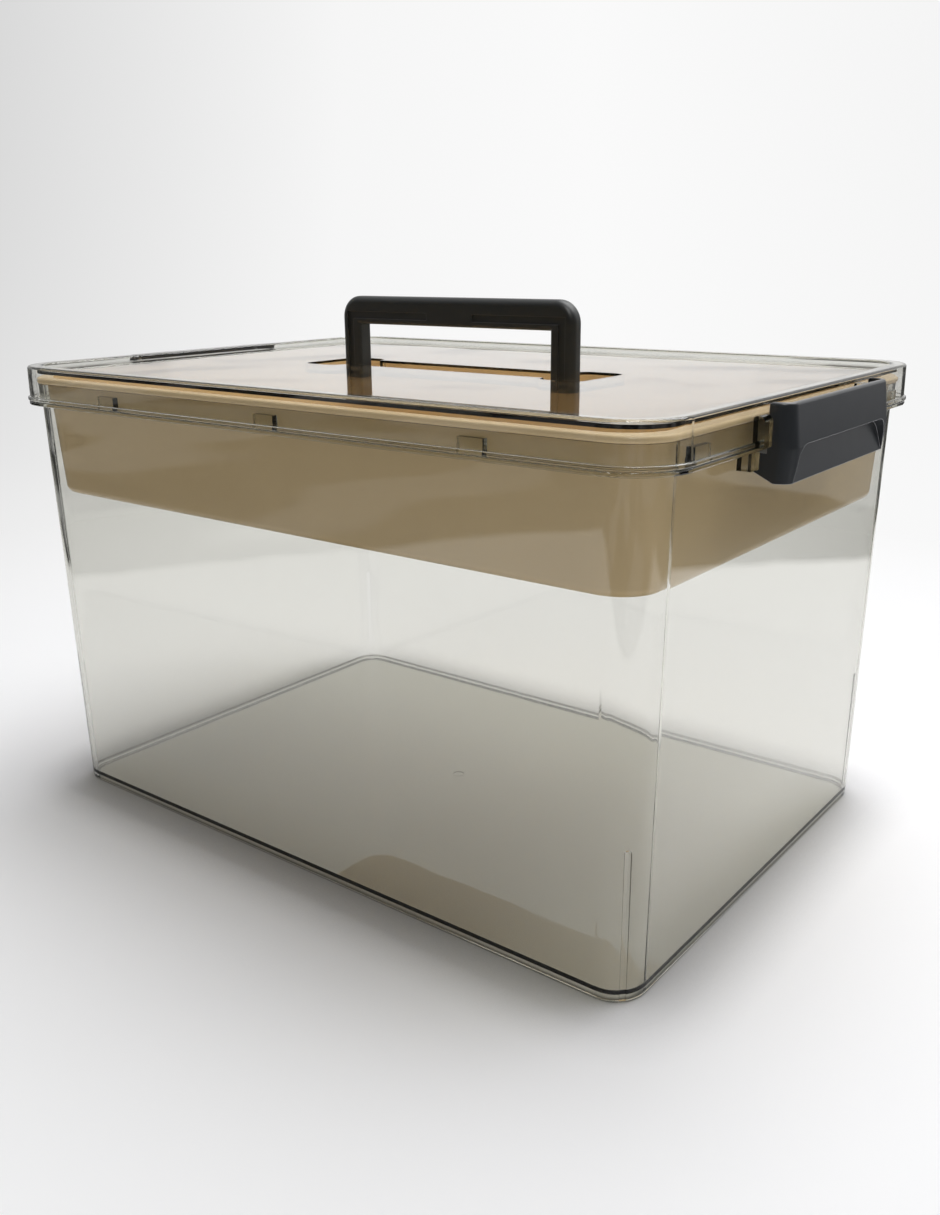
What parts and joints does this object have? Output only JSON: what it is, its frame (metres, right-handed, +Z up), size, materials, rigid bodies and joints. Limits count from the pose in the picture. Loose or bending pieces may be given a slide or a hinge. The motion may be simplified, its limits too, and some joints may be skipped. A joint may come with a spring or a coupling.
{
  "type": "art supply box",
  "caption": "Clear carrying box with drafted walls, a lift-off lid held by end latches, a hanging inner tray and a push-down bail handle, for storing art supplies.",
  "frame": {"origin": "centre of the base on the table", "axes": "+Z up, +X along the length towards one latch, +Y across the box"},
  "size_m": [0.407, 0.2678, 0.2642],
  "materials": {
    "clear_plastic": "clear, lightly smoked, glossy",
    "tan_plastic": "opaque, satin",
    "black_plastic": "opaque, satin",
    "grey_plastic": "opaque, satin"
  },
  "bodies": {
    "box": {"box_tub": "clear_plastic"},
    "tray": {"inner_tray": "tan_plastic"},
    "lid": {"lid": "clear_plastic"},
    "handle": {"carry_handle": "black_plastic"},
    "latch_right": {"latch_right": "grey_plastic"},
    "latch_left": {"latch_left": "grey_plastic"}
  },
  "joints": [
    {"name": "lid_lift", "type": "slide", "parent": "box", "child": "lid", "axis": [0, 0, 1], "range_m": [0, 0.3]},
    {"name": "tray_lift", "type": "slide", "parent": "box", "child": "tray", "axis": [0, 0, 1], "range_m": [0, 0.135]},
    {"name": "handle_slide", "type": "slide", "parent": "lid", "child": "handle", "axis": [0, 0, 1], "range_m": [-0.024, 0]},
    {"name": "latch_right_turn", "type": "hinge", "parent": "lid", "child": "latch_right", "pos_m": [0.1962, 0, 0.2265], "axis": [0, -1, 0], "range_deg": [0, 90]},
    {"name": "latch_left_turn", "type": "hinge", "parent": "lid", "child": "latch_left", "pos_m": [-0.1962, 0, 0.2265], "axis": [0, 1, 0], "range_deg": [0, 90]}
  ],
  "couplings": [
    {"joint": "tray_lift", "follows": "lid_lift", "ratio": 0.45}
  ]
}
